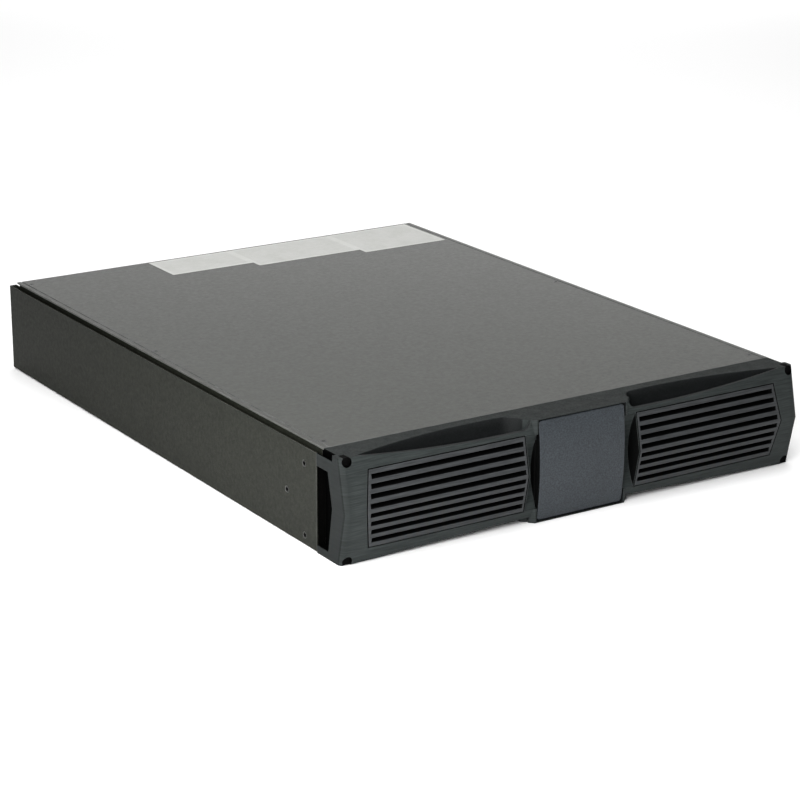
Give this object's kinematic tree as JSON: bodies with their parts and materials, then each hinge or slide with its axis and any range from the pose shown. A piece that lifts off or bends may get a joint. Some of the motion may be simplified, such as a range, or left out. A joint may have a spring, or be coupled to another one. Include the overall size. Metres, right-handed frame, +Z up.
{
  "type": "rack battery pack",
  "caption": "Flat rack battery pack for an uninterruptible power supply: steel case, ridged louvred front with a bowed centre plate, rear breaker and connectors.",
  "frame": {"origin": "middle of the underside of the pack's box", "axes": "+X to the right seen from the front, -Y out of the front, +Z up"},
  "size_m": [0.44, 0.6, 0.0851],
  "materials": {
    "case_paint": "fine satin powder coat",
    "cover_paint": "fine satin powder coat",
    "plated_steel": "zinc plated",
    "dark_screw": "blackened",
    "panel_paint": "satin powder coat",
    "bezel_plastic": "finely brushed moulding",
    "badge_plastic": "satin",
    "black_rubber": "matt",
    "label_paper": "matt",
    "block_plastic": "matt",
    "lead_cover": "smooth",
    "plug_plastic": "matt",
    "breaker_plastic": "matt",
    "foam": "open cell",
    "contact_brass": "plain"
  },
  "bodies": {
    "case": {"chassis": "case_paint", "top_cover": "cover_paint", "ear_nuts": "plated_steel", "front_plate": "plated_steel", "front_plate_screws": "plated_steel", "bezel_studs": "plated_steel", "rear_panel_screws": "plated_steel", "tray_pulls": "plated_steel", "breaker_pin": "plated_steel", "ground_stud": "plated_steel", "ground_nut": "plated_steel", "left_battery_tray": "plated_steel", "right_battery_tray": "plated_steel", "cover_screws": "dark_screw", "rear_panel": "panel_paint", "bezel": "bezel_plastic", "left_grille": "bezel_plastic", "right_grille": "bezel_plastic", "centre_panel": "badge_plastic", "corner_plugs": "black_rubber", "rear_label_left": "label_paper", "rear_label_middle": "label_paper", "rear_label_right": "label_paper", "left_block_outer_1": "block_plastic", "left_block_outer_2": "block_plastic", "left_block_outer_3": "block_plastic", "left_block_inner_1": "block_plastic", "left_block_inner_2": "block_plastic", "left_block_inner_3": "block_plastic", "right_block_outer_1": "block_plastic", "right_block_outer_2": "block_plastic", "right_block_outer_3": "block_plastic", "right_block_inner_1": "block_plastic", "right_block_inner_2": "block_plastic", "right_block_inner_3": "block_plastic", "left_jumpers": "lead_cover", "right_jumpers": "lead_cover", "left_module_leads": "lead_cover", "right_module_leads": "lead_cover", "left_harness_leads": "lead_cover", "right_harness_leads": "lead_cover", "output_leads": "lead_cover", "left_module_plug": "plug_plastic", "right_module_plug": "plug_plastic", "left_harness_plug": "plug_plastic", "right_harness_plug": "plug_plastic", "input_connector": "plug_plastic", "output_connector": "plug_plastic", "breaker_body": "breaker_plastic", "foam_strips": "foam", "connector_blades": "contact_brass"},
    "lever": {"breaker_lever": "breaker_plastic"}
  },
  "joints": [
    {"name": "breaker_rock", "type": "hinge", "parent": "case", "child": "lever", "pos_m": [0, 0.2738, 0.0425], "axis": [1, 0, 0], "range_deg": [0, 40]}
  ]
}
